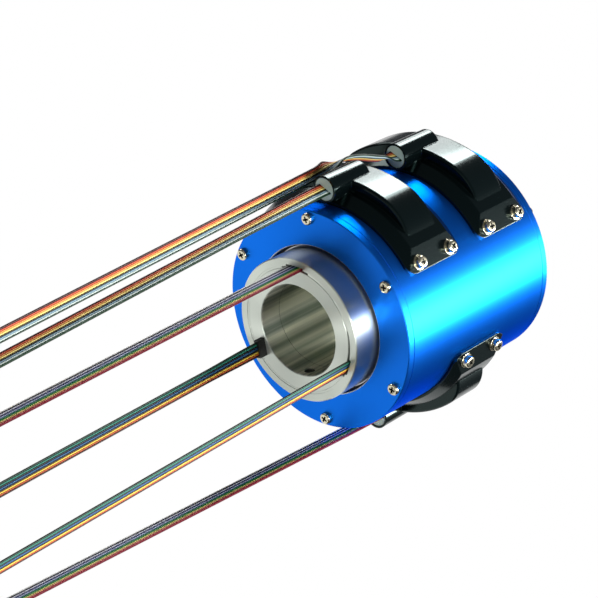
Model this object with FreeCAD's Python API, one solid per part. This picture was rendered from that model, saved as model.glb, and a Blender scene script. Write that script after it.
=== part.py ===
import FreeCAD
import Part
import math
import os

from FreeCAD import Vector

# Through-bore slip ring. The shaft axis is Y, the front cover's face is the plane y = 0,
# the front faces -Y and the housing runs towards +Y. Angles about the axis are in degrees
# from +Z towards +X. The rotor is held on a shaft and the housing turns round it.

# Driving dimensions, in millimetres
BORE_R = 25.4
HOOD_PITCH = 29.45
RIBBON_LENGTH = 305.0
COLLAR_PROTRUSION = 16.0
REAR_PROTRUSION = 1.5
BARREL_WALL = 9.0
COVER_THICKNESS = 4.5
FRONT_MARGIN = 4.0
SEAT_GAP = 0.05
FIT_GAP = 0.1

# Rotor
TUBE_WALL = 2.5
DRIVE_COLLAR_WALL = 9.0
DRIVE_COLLAR_LENGTH = 14.0
LEAD_GAP = 1.2
LEAD_COLLAR_WALL = 4.4
WEB_THICKNESS = 5.0
SLEEVE_WALL = 3.4
CARRIER_WALL = 1.6
CARRIER_FLANGE = 1.8
SPIGOT_LENGTH = 8.5
BARRIER_WIDTH = 2.0
BARRIER_HEIGHT = 4.0
RING_COUNT_PER_GROUP = 4
RING_SPACE = 2.55
RING_THICKNESS = 2.5
RING_END_SPACE = 0.55
EDGE_CHAMFER = 0.5
SET_SCREW_R = 3.0
SET_SCREW_LENGTH = 8.0
SET_SCREW_DEPTH = 6.4
SET_SCREW_ANGLE = 173.5
ACCESS_HOLE_R = 3.3
CLAMP_SCREW_R = 1.5
CLAMP_SCREW_LENGTH = 12.0
CLAMP_HEAD_R = 2.75
CLAMP_HEAD_HEIGHT = 3.0
CLAMP_INSET = 6.2
CLAMP_ANGLES = (35.0, 155.0, 275.0)

# Bearings
BEARING_WIDTH = 10.0
BEARING_HEIGHT = 10.0
RACE_SHARE = 0.32
BALL_SHARE = 0.3175
CAGE_SHARE = 0.22
INNER_RACE_RELIEF = 0.3
BALL_COUNT = 12
BALL_CLEARANCE = 0.12
CAGE_WIDTH = 7.6
SHIELD_THICKNESS = 0.5
SHIELD_CLEARANCE = 0.6

# Covers and their screws
COVER_HOLE_CLEARANCE = 1.75
COVER_CHAMFER = 0.4
SEAM_CHAMFER = 0.3
SPIGOT_WALL = 2.4
COVER_SCREW_INSET = 4.5
COVER_SCREW_START = -6.8
COVER_SCREW_COUNT = 6
COVER_SCREW_REACH = 12.0
SCREW_R = 1.75
SCREW_HEAD_R = 3.3
SCREW_HEAD_HEIGHT = 2.2
SCREW_HEAD_ROUND = 0.7
SCREW_END_GAP = 1.0
SCREW_HOLE_CLEARANCE = 0.1

# Hoods: a moulded saddle with two screw pads, an arch over the brush block and a tunnel
# for the lead. The angle of each is that of the saddle's middle.
HOOD_ANGLES = {"front": -7.0, "lower": 168.0, "rear": -7.0}
HOOD_HALF_WIDTH = 21.3
HOOD_EDGE = 1.7
HOOD_SEAT = 0.1
HOOD_WALL = 1.9
PLATEAU_HALF_WIDTH = 14.7
PLATEAU_HEIGHT = 5.9
FOLD_ANGLE = 50.4
SKIRT_HALF_ANGLE = 66.0
TRIM_MARGIN = 9.0
ARCH_HALF_WIDTH = 11.4
ARCH_RISE = 12.0
ARCH_ROUND = 1.5
ARCH_FOOT_ANGLE = 49.5
SHOULDER_NEAR = (26.0, 30.0, 80.0)
SHOULDER_FAR = (-30.5, 18.0, -84.0)
PAD_NORMAL_ANGLE = 73.8
PAD_LENGTH = 13.3
PAD_CORNER_R = 6.0
PAD_SCREW_PLACE = 8.2
PAD_SCREW_SPACING = 25.4
PAD_SCREW_REACH = 10.5
TUNNEL_TURN = 4.0
TUNNEL_AXIS_RISE = 9.5
TUNNEL_R = 7.5
TUNNEL_BORE_R = 6.3
TUNNEL_FRONT = 25.0
TUNNEL_BACK = 5.0
TUNNEL_END_ROUND = 2.2
WASHER_R = 4.1
WASHER_THICKNESS = 0.8
LOCK_WASHER_R = 3.3
LOCK_WASHER_THICKNESS = 0.9
SLEEVE_LENGTH = 14.0
SLEEVE_RECESS = 0.5
SLEEVE_SLOT_DEPTH = 4.0

# Brush blocks and brushes
WINDOW_HALF_ANGLE = 31.0
WINDOW_END_SPACE = 1.15
BLOCK_CLEARANCE = 0.15
BLOCK_THICKNESS = 5.0
BLOCK_BOSS_HEIGHT = 2.0
BLOCK_BOSS_HALF_ANGLE = 10.0
BLOCK_BOSS_HALF_WIDTH = 8.0
BRUSH_ROOT_ANGLE = 16.0
BRUSH_WIDTH = 1.2
BRUSH_THICKNESS = 0.5
BRUSH_OFFSET = 1.1
BRUSH_GAP = 0.3
BRUSH_OVERRUN = 3.0

# Ribbon leads. A fall is how far the lead sinks for each millimetre that it runs.
WIRE_PITCH = 1.05
RIBBON_THICKNESS = 1.1
RIBBON_CLEARANCE = 0.25
HOOD_LEAD_WIRES = {"front": 8, "lower": 10, "rear": 8}
HOOD_LEAD_TILTS = {"front": 25.0, "lower": 0.0, "rear": 25.0}
HOOD_LEAD_FALLS = {"front": 0.05, "lower": -0.055, "rear": 0.051}
HOOD_LEAD_STRAIGHT = 12.0
SIDE_STEP = 13.2
SIDE_STEP_START = 10.5
SIDE_STEP_END = 29.0
SIDE_STEP_SETTLED = 49.0
ROTOR_LEAD_ANGLES = {"top": -4.0, "side": 106.5}
ROTOR_LEAD_WIRES = {"top": 10, "side": 8}
ROTOR_LEAD_FALLS = {"top": 0.017, "side": 0.02}
ROTOR_LEAD_STRAIGHT = 28.0
BOOT_LEAD_ANGLE = -126.0
BOOT_LEAD_TILT = 24.0
BOOT_LEAD_WIRES = 8
BOOT_LEAD_FALL = 0.02
BOOT_LEAD_INSET = 4.3
BOOT_THICKNESS = 3.0
BOOT_MARGIN = 0.7
BOOT_OUT = 5.2
BOOT_IN = 8.0
BOOT_CLEARANCE = 0.1
NOTCH_MARGIN = 0.5
NOTCH_DEPTH = 2.0
WIRE_SLOT_MARGIN = 0.3
WIRE_BUNDLE_HALF_ANGLE = 6.5
WIRE_BUNDLE_THICKNESS = 1.4

# Radii worked out from the driving dimensions
TUBE_R = BORE_R + TUBE_WALL
DRIVE_COLLAR_R = BORE_R + DRIVE_COLLAR_WALL
GAP_R = DRIVE_COLLAR_R + LEAD_GAP
COLLAR_R = GAP_R + LEAD_COLLAR_WALL
SLEEVE_IN_R = COLLAR_R - SLEEVE_WALL
CARRIER_R = SLEEVE_IN_R - FIT_GAP
CARRIER_IN_R = CARRIER_R - CARRIER_WALL
RING_R = CARRIER_R + RING_THICKNESS
CLAMP_CIRCLE_R = BORE_R + CLAMP_INSET
BOOT_LEAD_R = BORE_R + BOOT_LEAD_INSET
BALL_CIRCLE_R = COLLAR_R + BEARING_HEIGHT / 2
RACE_WALL = BEARING_HEIGHT * RACE_SHARE
BALL_R = BEARING_HEIGHT * BALL_SHARE
CAGE_WALL = BEARING_HEIGHT * CAGE_SHARE
BEARING_OUT_R = COLLAR_R + BEARING_HEIGHT
BARREL_IN_R = BEARING_OUT_R + SPIGOT_WALL + FIT_GAP
HOUSING_R = BARREL_IN_R + BARREL_WALL
COVER_SCREW_CIRCLE_R = HOUSING_R - COVER_SCREW_INSET
HOOD_IN_R = HOUSING_R + HOOD_SEAT
ARCH_R = HOUSING_R + ARCH_RISE
TUNNEL_AXIS_R = HOUSING_R + TUNNEL_AXIS_RISE
BOOT_WIDTH = BOOT_LEAD_WIRES * WIRE_PITCH + 2 * BOOT_MARGIN
PLATEAU_R = HOUSING_R + PLATEAU_HEIGHT

# The pads: a flat at a distance from the shaft axis, from the fold to its rounded end
PAD_FOLD = math.radians(FOLD_ANGLE - PAD_NORMAL_ANGLE)
PAD_PLANE = PLATEAU_R * math.cos(PAD_FOLD)
PAD_START = PLATEAU_R * math.sin(PAD_FOLD)
PAD_END = PAD_START + PAD_LENGTH
PAD_SCREW_X = PAD_START + PAD_SCREW_PLACE
HEAD_LIFT = WASHER_THICKNESS + LOCK_WASHER_THICKNESS

# Places along the shaft
FACE_Y = -COLLAR_PROTRUSION
WEB_Y = FACE_Y + DRIVE_COLLAR_LENGTH
WEB_BACK_Y = WEB_Y + WEB_THICKNESS
SET_SCREW_Y = FACE_Y + SET_SCREW_DEPTH
BEARING_START = COVER_THICKNESS + SHIELD_THICKNESS
BEARING_END = BEARING_START + BEARING_WIDTH
RING_PITCH = (HOOD_PITCH - BARRIER_WIDTH) / RING_COUNT_PER_GROUP
RING_WIDTH = RING_PITCH - RING_SPACE
GROUP_HALF_LENGTH = ((RING_COUNT_PER_GROUP - 1) * RING_PITCH + RING_WIDTH) / 2
WINDOW_HALF_WIDTH = GROUP_HALF_LENGTH + WINDOW_END_SPACE
END_TO_HOOD = BEARING_END + CARRIER_FLANGE + RING_END_SPACE + GROUP_HALF_LENGTH
FRONT_HOOD_Y = END_TO_HOOD + FRONT_MARGIN
HOOD_PLACES = {
    "front": FRONT_HOOD_Y,
    "lower": FRONT_HOOD_Y + HOOD_PITCH,
    "rear": FRONT_HOOD_Y + 2 * HOOD_PITCH,
}
HOUSING_LENGTH = HOOD_PLACES["rear"] + END_TO_HOOD
REAR_Y = HOUSING_LENGTH + REAR_PROTRUSION

AXIS = Vector(0, 1, 0)
ORIGIN = Vector(0, 0, 0)


def polar(radius, angle, y=0.0):
    """A point at a radius and an angle about the shaft axis."""
    a = math.radians(angle)
    return Vector(radius * math.sin(a), y, radius * math.cos(a))


def turned(shape, angle):
    """The shape turned about the shaft axis, from +Z towards +X."""
    copy = shape.copy()
    copy.rotate(ORIGIN, AXIS, angle)
    return copy


def moved(shape, y):
    """The shape moved along the shaft axis."""
    copy = shape.copy()
    copy.translate(Vector(0, y, 0))
    return copy


def mirrored_end(shape):
    """The shape mirrored from the front end of the housing to its rear end."""
    return shape.mirror(Vector(0, HOUSING_LENGTH / 2, 0), AXIS)


def cylinder(radius, y0, y1):
    return Part.makeCylinder(radius, y1 - y0, Vector(0, y0, 0), AXIS)


def tube(inner, outer, y0, y1):
    return cylinder(outer, y0, y1).cut(cylinder(inner, y0 - 1, y1 + 1))


def revolved(profile, start=0.0, sweep=360.0):
    """A solid of revolution about the shaft axis from (radius, y) points."""
    points = [Vector(0, y, radius) for radius, y in profile]
    face = Part.Face(Part.makePolygon(points + points[:1]))
    return turned(face.revolve(ORIGIN, AXIS, sweep), start)


def sector(inner, outer, half_angle, y0, y1):
    """A block bounded by two radii and two angles, centred on +Z."""
    edges = [
        Part.Arc(polar(outer, -half_angle, y0), polar(outer, 0, y0), polar(outer, half_angle, y0)).toShape(),
        Part.makeLine(polar(outer, half_angle, y0), polar(inner, half_angle, y0)),
        Part.Arc(polar(inner, half_angle, y0), polar(inner, 0, y0), polar(inner, -half_angle, y0)).toShape(),
        Part.makeLine(polar(inner, -half_angle, y0), polar(outer, -half_angle, y0)),
    ]
    return Part.Face(Part.Wire(edges)).extrude(Vector(0, y1 - y0, 0))


def block(width, height, y0, y1, radius):
    """A plain block centred on +Z at a radius: width along X, height along Z."""
    corner = Vector(-width / 2, y0, radius - height / 2)
    return Part.makeBox(width, y1 - y0, height, corner)


def stud(radius, bottom, top, y, x=0.0):
    """A cylinder along +Z, between two heights above the shaft axis."""
    return Part.makeCylinder(radius, top - bottom, Vector(x, y, bottom), Vector(0, 0, 1))


def joined(shapes):
    return shapes[0].fuse(shapes[1:]).removeSplitter()


def tilted(shape, radius, angle):
    """The shape turned about its own line parallel to the shaft, at a radius on +Z."""
    copy = shape.copy()
    copy.rotate(Vector(0, 0, radius), AXIS, angle)
    return copy


# Rotor pieces

def wire_slots(grow):
    """The passages that the three bundles of wire take through the collar's web."""
    low = BOOT_LEAD_R - BOOT_THICKNESS / 2
    slots = []
    for angle in ROTOR_LEAD_ANGLES.values():
        slots.append(turned(sector(CARRIER_IN_R - WIRE_BUNDLE_THICKNESS - grow, GAP_R + grow,
                                   WIRE_BUNDLE_HALF_ANGLE + grow, WEB_Y - 1, WEB_BACK_Y + 1), angle))
    boot_slot = sector(low - grow, low + BOOT_THICKNESS + grow,
                       WIRE_BUNDLE_HALF_ANGLE + grow, WEB_Y - 1, WEB_BACK_Y + 1)
    slots.append(turned(boot_slot, BOOT_LEAD_ANGLE))
    return slots


def ring_wires():
    """Three bundles of wire that run from the rings, inside the carrier, to the leads."""
    low = BOOT_LEAD_R - BOOT_THICKNESS / 2
    reach = {"top": group_centres()[2], "side": group_centres()[1]}
    bundles = []
    for name, angle in ROTOR_LEAD_ANGLES.items():
        strip = sector(CARRIER_IN_R - WIRE_BUNDLE_THICKNESS, CARRIER_IN_R - SEAT_GAP,
                       WIRE_BUNDLE_HALF_ANGLE, WEB_Y, reach[name])
        bundles.append(turned(strip, angle))
    strip = sector(TUBE_R + SEAT_GAP, low + WIRE_BUNDLE_THICKNESS,
                   WIRE_BUNDLE_HALF_ANGLE, WEB_Y, group_centres()[0])
    bundles.append(turned(strip, BOOT_LEAD_ANGLE))
    return Part.makeCompound(bundles)


def rotor_tube():
    return tube(BORE_R, TUBE_R, WEB_Y, REAR_Y)


def boot_hole(grow, y0, y1):
    """The outline of the boot, grown all round, between two places along the axis."""
    shape = block(BOOT_WIDTH + 2 * grow, BOOT_THICKNESS + 2 * grow, y0, y1, BOOT_LEAD_R)
    return turned(tilted(shape, BOOT_LEAD_R, BOOT_LEAD_TILT), BOOT_LEAD_ANGLE)


def drive_collar():
    """The inner silver ring, which its set screw clamps to the shaft."""
    body = revolved([
        (BORE_R + EDGE_CHAMFER, FACE_Y), (DRIVE_COLLAR_R - EDGE_CHAMFER / 2, FACE_Y),
        (DRIVE_COLLAR_R, FACE_Y + EDGE_CHAMFER / 2), (DRIVE_COLLAR_R, WEB_Y),
        (BORE_R, WEB_Y), (BORE_R, FACE_Y + EDGE_CHAMFER)])
    hole = stud(SET_SCREW_R, BORE_R - 1, DRIVE_COLLAR_R + 1, SET_SCREW_Y)
    cuts = [turned(hole, SET_SCREW_ANGLE), boot_hole(BOOT_CLEARANCE, FACE_Y - 1, WEB_Y + 1)]
    depth = CLAMP_SCREW_LENGTH - WEB_THICKNESS + CLAMP_HEAD_HEIGHT + 1
    for angle in CLAMP_ANGLES:
        cuts.append(Part.makeCylinder(CLAMP_SCREW_R, depth, polar(CLAMP_CIRCLE_R, angle, WEB_Y), -AXIS))
    return body.cut(cuts)


def lead_collar():
    """The outer silver ring: it carries the front bearing and leads the ribbons out."""
    body = revolved([
        (GAP_R, FACE_Y), (COLLAR_R - EDGE_CHAMFER, FACE_Y), (COLLAR_R, FACE_Y + EDGE_CHAMFER),
        (COLLAR_R, BEARING_END), (SLEEVE_IN_R, BEARING_END), (SLEEVE_IN_R, WEB_BACK_Y),
        (TUBE_R + SEAT_GAP, WEB_BACK_Y), (TUBE_R + SEAT_GAP, WEB_Y), (GAP_R, WEB_Y)])
    access = stud(ACCESS_HOLE_R, GAP_R - 1, COLLAR_R + 1, SET_SCREW_Y)
    cuts = wire_slots(WIRE_SLOT_MARGIN) + [turned(access, SET_SCREW_ANGLE)]
    for name, angle in ROTOR_LEAD_ANGLES.items():
        width = ROTOR_LEAD_WIRES[name] * WIRE_PITCH + 2 * NOTCH_MARGIN
        notch = block(width, NOTCH_DEPTH, FACE_Y - 1, WEB_Y + 1, DRIVE_COLLAR_R + NOTCH_DEPTH / 2)
        cuts.append(turned(notch, angle))
    for angle in CLAMP_ANGLES:
        centre = polar(CLAMP_CIRCLE_R, angle, WEB_Y - 1)
        cuts.append(Part.makeCylinder(CLAMP_SCREW_R + FIT_GAP, WEB_THICKNESS + 2, centre, AXIS))
        centre = polar(CLAMP_CIRCLE_R, angle, WEB_BACK_Y - CLAMP_HEAD_HEIGHT)
        cuts.append(Part.makeCylinder(CLAMP_HEAD_R + FIT_GAP, CLAMP_HEAD_HEIGHT + 1, centre, AXIS))
    return body.cut(cuts)


def collar_screws():
    """The screws that hold the drive collar against the lead collar's web, from behind."""
    screws = []
    for angle in CLAMP_ANGLES:
        centre = polar(CLAMP_CIRCLE_R, angle, WEB_BACK_Y - CLAMP_HEAD_HEIGHT)
        length = CLAMP_SCREW_LENGTH - CLAMP_HEAD_HEIGHT
        shank = Part.makeCylinder(CLAMP_SCREW_R - SEAT_GAP, length, centre, -AXIS)
        head = Part.makeCylinder(CLAMP_HEAD_R, CLAMP_HEAD_HEIGHT, centre, AXIS)
        screws.append(head.fuse(shank).removeSplitter())
    return Part.makeCompound(screws)


def set_screws():
    top = DRIVE_COLLAR_R - EDGE_CHAMFER
    return turned(stud(SET_SCREW_R - SEAT_GAP, top - SET_SCREW_LENGTH, top, SET_SCREW_Y), SET_SCREW_ANGLE)


def rear_collar():
    """The ring that seats the rear bearing and closes the rotor behind."""
    return revolved([
        (SLEEVE_IN_R, HOUSING_LENGTH - BEARING_END), (COLLAR_R, HOUSING_LENGTH - BEARING_END),
        (COLLAR_R, REAR_Y - EDGE_CHAMFER), (COLLAR_R - EDGE_CHAMFER, REAR_Y),
        (TUBE_R + SEAT_GAP, REAR_Y), (TUBE_R + SEAT_GAP, REAR_Y - WEB_THICKNESS),
        (SLEEVE_IN_R, REAR_Y - WEB_THICKNESS)])


def group_centres():
    """Where the three groups of rings lie: under the three hoods."""
    return sorted(HOOD_PLACES.values())


def ring_offsets():
    """Places of the rings in one group, from the group's centre."""
    last = RING_COUNT_PER_GROUP - 1
    return [(i - last / 2) * RING_PITCH for i in range(RING_COUNT_PER_GROUP)]


def ring_carrier():
    """An insulating tube with a flange at each end and barriers between the groups."""
    front = BEARING_END
    rear = HOUSING_LENGTH - BEARING_END
    flange_r = COLLAR_R + RACE_WALL / 2
    body = tube(CARRIER_IN_R, CARRIER_R, front - SPIGOT_LENGTH, rear + SPIGOT_LENGTH)
    rims = [tube(CARRIER_IN_R, flange_r, front, front + CARRIER_FLANGE),
            tube(CARRIER_IN_R, flange_r, rear - CARRIER_FLANGE, rear)]
    centres = group_centres()
    for near, far in zip(centres[:-1], centres[1:]):
        middle = (near + far) / 2
        rims.append(tube(CARRIER_IN_R, CARRIER_R + BARRIER_HEIGHT,
                         middle - BARRIER_WIDTH / 2, middle + BARRIER_WIDTH / 2))
    return joined([body] + rims)


def slip_rings():
    """The contact rings, in three groups of four."""
    rings = []
    for centre in group_centres():
        for offset in ring_offsets():
            y = centre + offset
            rings.append(tube(CARRIER_R + SEAT_GAP, RING_R, y - RING_WIDTH / 2, y + RING_WIDTH / 2))
    return Part.makeCompound(rings)


# Bearings

def grooved_race(plain_r, groove_r, y0, y1):
    """A race with a gothic groove of two cones, which the balls run in."""
    middle = (y0 + y1) / 2
    reach = BALL_R + BALL_CLEARANCE
    side = 1 if groove_r < BALL_CIRCLE_R else -1
    deep_r = BALL_CIRCLE_R - side * reach * math.sqrt(2)
    slope = abs(groove_r - deep_r)
    return revolved([(plain_r, y0), (groove_r, y0), (groove_r, middle - slope), (deep_r, middle),
                     (groove_r, middle + slope), (groove_r, y1), (plain_r, y1)])


def front_bearing_inner():
    return grooved_race(COLLAR_R + SEAT_GAP / 2, COLLAR_R + RACE_WALL,
                        BEARING_START + INNER_RACE_RELIEF, BEARING_END)


def front_bearing_outer():
    return grooved_race(BEARING_OUT_R - SEAT_GAP / 2, BEARING_OUT_R - RACE_WALL,
                        BEARING_START, BEARING_END)


def front_ball_cage():
    """The cage and its balls, which roll between the races at about half the housing's speed."""
    middle = (BEARING_START + INNER_RACE_RELIEF + BEARING_END) / 2
    cage = tube(BALL_CIRCLE_R - CAGE_WALL / 2, BALL_CIRCLE_R + CAGE_WALL / 2,
                middle - CAGE_WIDTH / 2, middle + CAGE_WIDTH / 2)
    balls = []
    for i in range(BALL_COUNT):
        balls.append(Part.makeSphere(BALL_R, polar(BALL_CIRCLE_R, i * 360.0 / BALL_COUNT, middle)))
    return joined([cage] + balls)


def front_dust_shield():
    return tube(COLLAR_R + SHIELD_CLEARANCE, BEARING_OUT_R - SEAT_GAP, COVER_THICKNESS, BEARING_START)


# Housing pieces

def cover_screw_angles():
    return [COVER_SCREW_START + i * 360.0 / COVER_SCREW_COUNT for i in range(COVER_SCREW_COUNT)]


def front_cover():
    """The disc that closes the barrel, with a spigot behind it that holds the bearing."""
    hole_r = COLLAR_R + COVER_HOLE_CLEARANCE
    body = revolved([
        (hole_r + COVER_CHAMFER, 0), (HOUSING_R - EDGE_CHAMFER, 0), (HOUSING_R, EDGE_CHAMFER),
        (HOUSING_R, COVER_THICKNESS - SEAM_CHAMFER), (HOUSING_R - SEAM_CHAMFER, COVER_THICKNESS),
        (BARREL_IN_R - FIT_GAP, COVER_THICKNESS),
        (BARREL_IN_R - FIT_GAP, BEARING_END), (BEARING_OUT_R, BEARING_END),
        (BEARING_OUT_R, COVER_THICKNESS), (hole_r, COVER_THICKNESS), (hole_r, COVER_CHAMFER)])
    holes = []
    for angle in cover_screw_angles():
        centre = polar(COVER_SCREW_CIRCLE_R, angle, -1)
        holes.append(Part.makeCylinder(SCREW_R + SCREW_HOLE_CLEARANCE, COVER_THICKNESS + 2, centre, AXIS))
    return body.cut(holes)


def pan_head(radius, height, y):
    """A screw head with its rounded top at y and its flat underside below, along +Y."""
    head = Part.makeCylinder(radius, height, Vector(0, y, 0), AXIS)
    rim = [e for e in head.Edges if abs(e.CenterOfMass.y - y) < 1e-6 and e.BoundBox.XLength > radius]
    return head.makeChamfer(SCREW_HEAD_ROUND, rim)


def cover_screws():
    """Pan head screws on the front cover."""
    screws = []
    for angle in cover_screw_angles():
        head = pan_head(SCREW_HEAD_R, SCREW_HEAD_HEIGHT, -SCREW_HEAD_HEIGHT)
        shank = Part.makeCylinder(SCREW_R - SEAT_GAP, COVER_SCREW_REACH, ORIGIN, AXIS)
        screw = head.fuse(shank).removeSplitter()
        screw.translate(polar(COVER_SCREW_CIRCLE_R, angle))
        screws.append(screw)
    return Part.makeCompound(screws)


def on_hoods(shape, place):
    return turned(moved(shape, HOOD_PLACES[place]), HOOD_ANGLES[place])


def on_pads(shape):
    """A shape made for a pad that faces +Z, put on each of a hood's two pads."""
    near = turned(shape, PAD_NORMAL_ANGLE)
    return [near, near.mirror(ORIGIN, Vector(1, 0, 0))]


def pad_studs(radius, bottom, top):
    """A cylinder at each of a hood's four screws, square to its pad."""
    studs = []
    for y in (-PAD_SCREW_SPACING / 2, PAD_SCREW_SPACING / 2):
        studs += on_pads(stud(radius, bottom, top, y, PAD_SCREW_X))
    return studs


def housing_barrel():
    """The barrel: a thick tube with a window under each hood and tapped holes."""
    front = COVER_THICKNESS
    rear = HOUSING_LENGTH - COVER_THICKNESS
    body = revolved([
        (BARREL_IN_R, front), (HOUSING_R - SEAM_CHAMFER, front), (HOUSING_R, front + SEAM_CHAMFER),
        (HOUSING_R, rear - SEAM_CHAMFER), (HOUSING_R - SEAM_CHAMFER, rear), (BARREL_IN_R, rear)])
    cuts = []
    window = sector(BARREL_IN_R - 1, HOUSING_R + 1, WINDOW_HALF_ANGLE,
                    -WINDOW_HALF_WIDTH, WINDOW_HALF_WIDTH)
    holes = pad_studs(SCREW_R, PAD_PLANE - PAD_SCREW_REACH, PAD_PLANE + 1)
    for place in HOOD_PLACES:
        cuts += [on_hoods(shape, place) for shape in [window] + holes]
    depth = COVER_SCREW_REACH - COVER_THICKNESS + SCREW_END_GAP
    for angle in cover_screw_angles():
        hole = Part.makeCylinder(SCREW_R, depth, polar(COVER_SCREW_CIRCLE_R, angle, front), AXIS)
        cuts += [hole, mirrored_end(hole)]
    return body.cut(cuts)


# Hoods

def arch_outline(inset, foot_r):
    """The arch's outline, seen along the shaft: a crown and two unlike shoulders."""
    crown = ARCH_R - inset
    near_start, near_r, near_end = SHOULDER_NEAR
    far_start, far_r, far_end = SHOULDER_FAR
    near_c = polar(ARCH_R - near_r, near_start)
    far_c = polar(ARCH_R - far_r, far_start)
    near_r -= inset
    far_r -= inset

    def on_near(angle):
        return near_c + polar(near_r, angle)

    def on_far(angle):
        return far_c + polar(far_r, angle)

    shift = math.degrees(inset / foot_r)
    far_foot = polar(foot_r, shift - ARCH_FOOT_ANGLE)
    near_foot = polar(foot_r, ARCH_FOOT_ANGLE - shift)
    middle = (near_start + far_start) / 2
    edges = [
        Part.makeLine(far_foot, on_far(far_end)),
        Part.Arc(on_far(far_end), on_far((far_end + far_start) / 2), on_far(far_start)).toShape(),
        Part.Arc(polar(crown, far_start), polar(crown, middle), polar(crown, near_start)).toShape(),
        Part.Arc(on_near(near_start), on_near((near_start + near_end) / 2), on_near(near_end)).toShape(),
        Part.makeLine(on_near(near_end), near_foot),
        Part.makeLine(near_foot, far_foot),
    ]
    return Part.Face(Part.Wire(edges))


def arch(inset, half_width, foot_r):
    face = arch_outline(inset, foot_r)
    face.translate(Vector(0, -half_width, 0))
    return face.extrude(Vector(0, 2 * half_width, 0))


def pad_trim():
    """What is cut off for a pad that faces +Z: all above its flat and past its rounded end."""
    reach = HOOD_HALF_WIDTH + TRIM_MARGIN
    low = PAD_PLANE - PAD_LENGTH
    high = PAD_PLANE + TRIM_MARGIN
    past = Part.makeBox(2 * PAD_LENGTH, 2 * reach, high - low, Vector(PAD_END - PAD_CORNER_R, -reach, low))
    kept = Part.makeBox(2 * PAD_LENGTH, 2 * HOOD_HALF_WIDTH, high - low + 2,
                        Vector(PAD_END - 2 * PAD_LENGTH, -HOOD_HALF_WIDTH, low - 1))
    corners = [e for e in kept.Edges
               if e.BoundBox.ZLength > PAD_LENGTH and abs(e.CenterOfMass.x - PAD_END) < 1e-6]
    above = Part.makeBox(PAD_LENGTH - 2 * PAD_START, 2 * reach, TRIM_MARGIN,
                         Vector(2 * PAD_START, -reach, PAD_PLANE))
    return past.cut(kept.makeFillet(PAD_CORNER_R, corners)).fuse(above)


def saddle():
    """A plateau with sloping sides, which a fold at each end turns down into a flat pad."""
    body = revolved([
        (HOOD_IN_R, -HOOD_HALF_WIDTH), (HOOD_IN_R + HOOD_EDGE, -HOOD_HALF_WIDTH),
        (PLATEAU_R, -PLATEAU_HALF_WIDTH), (PLATEAU_R, PLATEAU_HALF_WIDTH),
        (HOOD_IN_R + HOOD_EDGE, HOOD_HALF_WIDTH), (HOOD_IN_R, HOOD_HALF_WIDTH)],
        -SKIRT_HALF_ANGLE, 2 * SKIRT_HALF_ANGLE)
    return body.cut(on_pads(pad_trim()))


def lead_tunnel():
    """The tunnel that the lead leaves by, with a flat end behind whose rim is rounded."""
    body = Part.makeCylinder(TUNNEL_R, TUNNEL_FRONT + TUNNEL_BACK,
                             Vector(0, -TUNNEL_FRONT, TUNNEL_AXIS_R), AXIS)
    rim = [e for e in body.Edges
           if abs(e.CenterOfMass.y - TUNNEL_BACK) < 1e-6 and e.BoundBox.XLength > TUNNEL_R]
    return turned(body.makeFillet(TUNNEL_END_ROUND, rim), TUNNEL_TURN)


def hood():
    """One moulded hood, its saddle centred on +Z at y = 0."""
    cover = arch(0, ARCH_HALF_WIDTH, HOOD_IN_R)
    top_edges = [e for e in cover.Edges
                 if abs(abs(e.CenterOfMass.y) - ARCH_HALF_WIDTH) < 1e-6
                 and e.BoundBox.YLength < 1e-6
                 and e.Curve.TypeId == "Part::GeomCircle"]
    cover = cover.makeFillet(ARCH_ROUND, top_edges)
    body = joined([saddle(), cover, lead_tunnel()])
    cavity = arch(HOOD_WALL, ARCH_HALF_WIDTH - HOOD_WALL, HOOD_IN_R - HOOD_WALL)
    passage = Part.makeCylinder(TUNNEL_BORE_R, TUNNEL_FRONT + 1 + TUNNEL_BACK - HOOD_WALL,
                                Vector(0, -TUNNEL_FRONT - 1, TUNNEL_AXIS_R), AXIS)
    inside = cylinder(HOOD_IN_R, -HOOD_HALF_WIDTH - TRIM_MARGIN, HOOD_HALF_WIDTH + TRIM_MARGIN)
    cuts = [inside, cavity, turned(passage, TUNNEL_TURN)]
    cuts += pad_studs(SCREW_R + SCREW_HOLE_CLEARANCE, PAD_PLANE - PAD_SCREW_REACH, PAD_PLANE + 1)
    return body.cut(cuts)


def pad_screws():
    """The four screws of one hood, standing on their washers."""
    length = PAD_SCREW_REACH + HEAD_LIFT - SCREW_END_GAP
    screws = []
    for y in (-PAD_SCREW_SPACING / 2, PAD_SCREW_SPACING / 2):
        head = pan_head(SCREW_HEAD_R, SCREW_HEAD_HEIGHT, -SCREW_HEAD_HEIGHT)
        screw = head.fuse(Part.makeCylinder(SCREW_R - SEAT_GAP, length, ORIGIN, AXIS)).removeSplitter()
        screw.rotate(ORIGIN, Vector(1, 0, 0), -90)
        screw.translate(Vector(PAD_SCREW_X, y, PAD_PLANE + HEAD_LIFT))
        screws += on_pads(screw)
    return Part.makeCompound(screws)


def washers(radius, bottom, thickness):
    discs = pad_studs(radius, bottom, bottom + thickness)
    holes = pad_studs(SCREW_R, bottom - 1, bottom + thickness + 1)
    return [disc.cut(hole) for disc, hole in zip(discs, holes)]


def pad_washers():
    """A flat washer and a lock washer under each screw head of one hood."""
    flat = washers(WASHER_R, PAD_PLANE, WASHER_THICKNESS)
    lock = washers(LOCK_WASHER_R, PAD_PLANE + WASHER_THICKNESS, LOCK_WASHER_THICKNESS)
    return Part.makeCompound(flat + lock)


def ribbon_blank(y0, y1, radius, wires, tilt, grow=0.0):
    """A straight flat ribbon on +Z at a radius, tilted about its own line."""
    shape = block(wires * WIRE_PITCH + 2 * grow, RIBBON_THICKNESS + 2 * grow, y0, y1, radius)
    return tilted(shape, radius, tilt)


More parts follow.
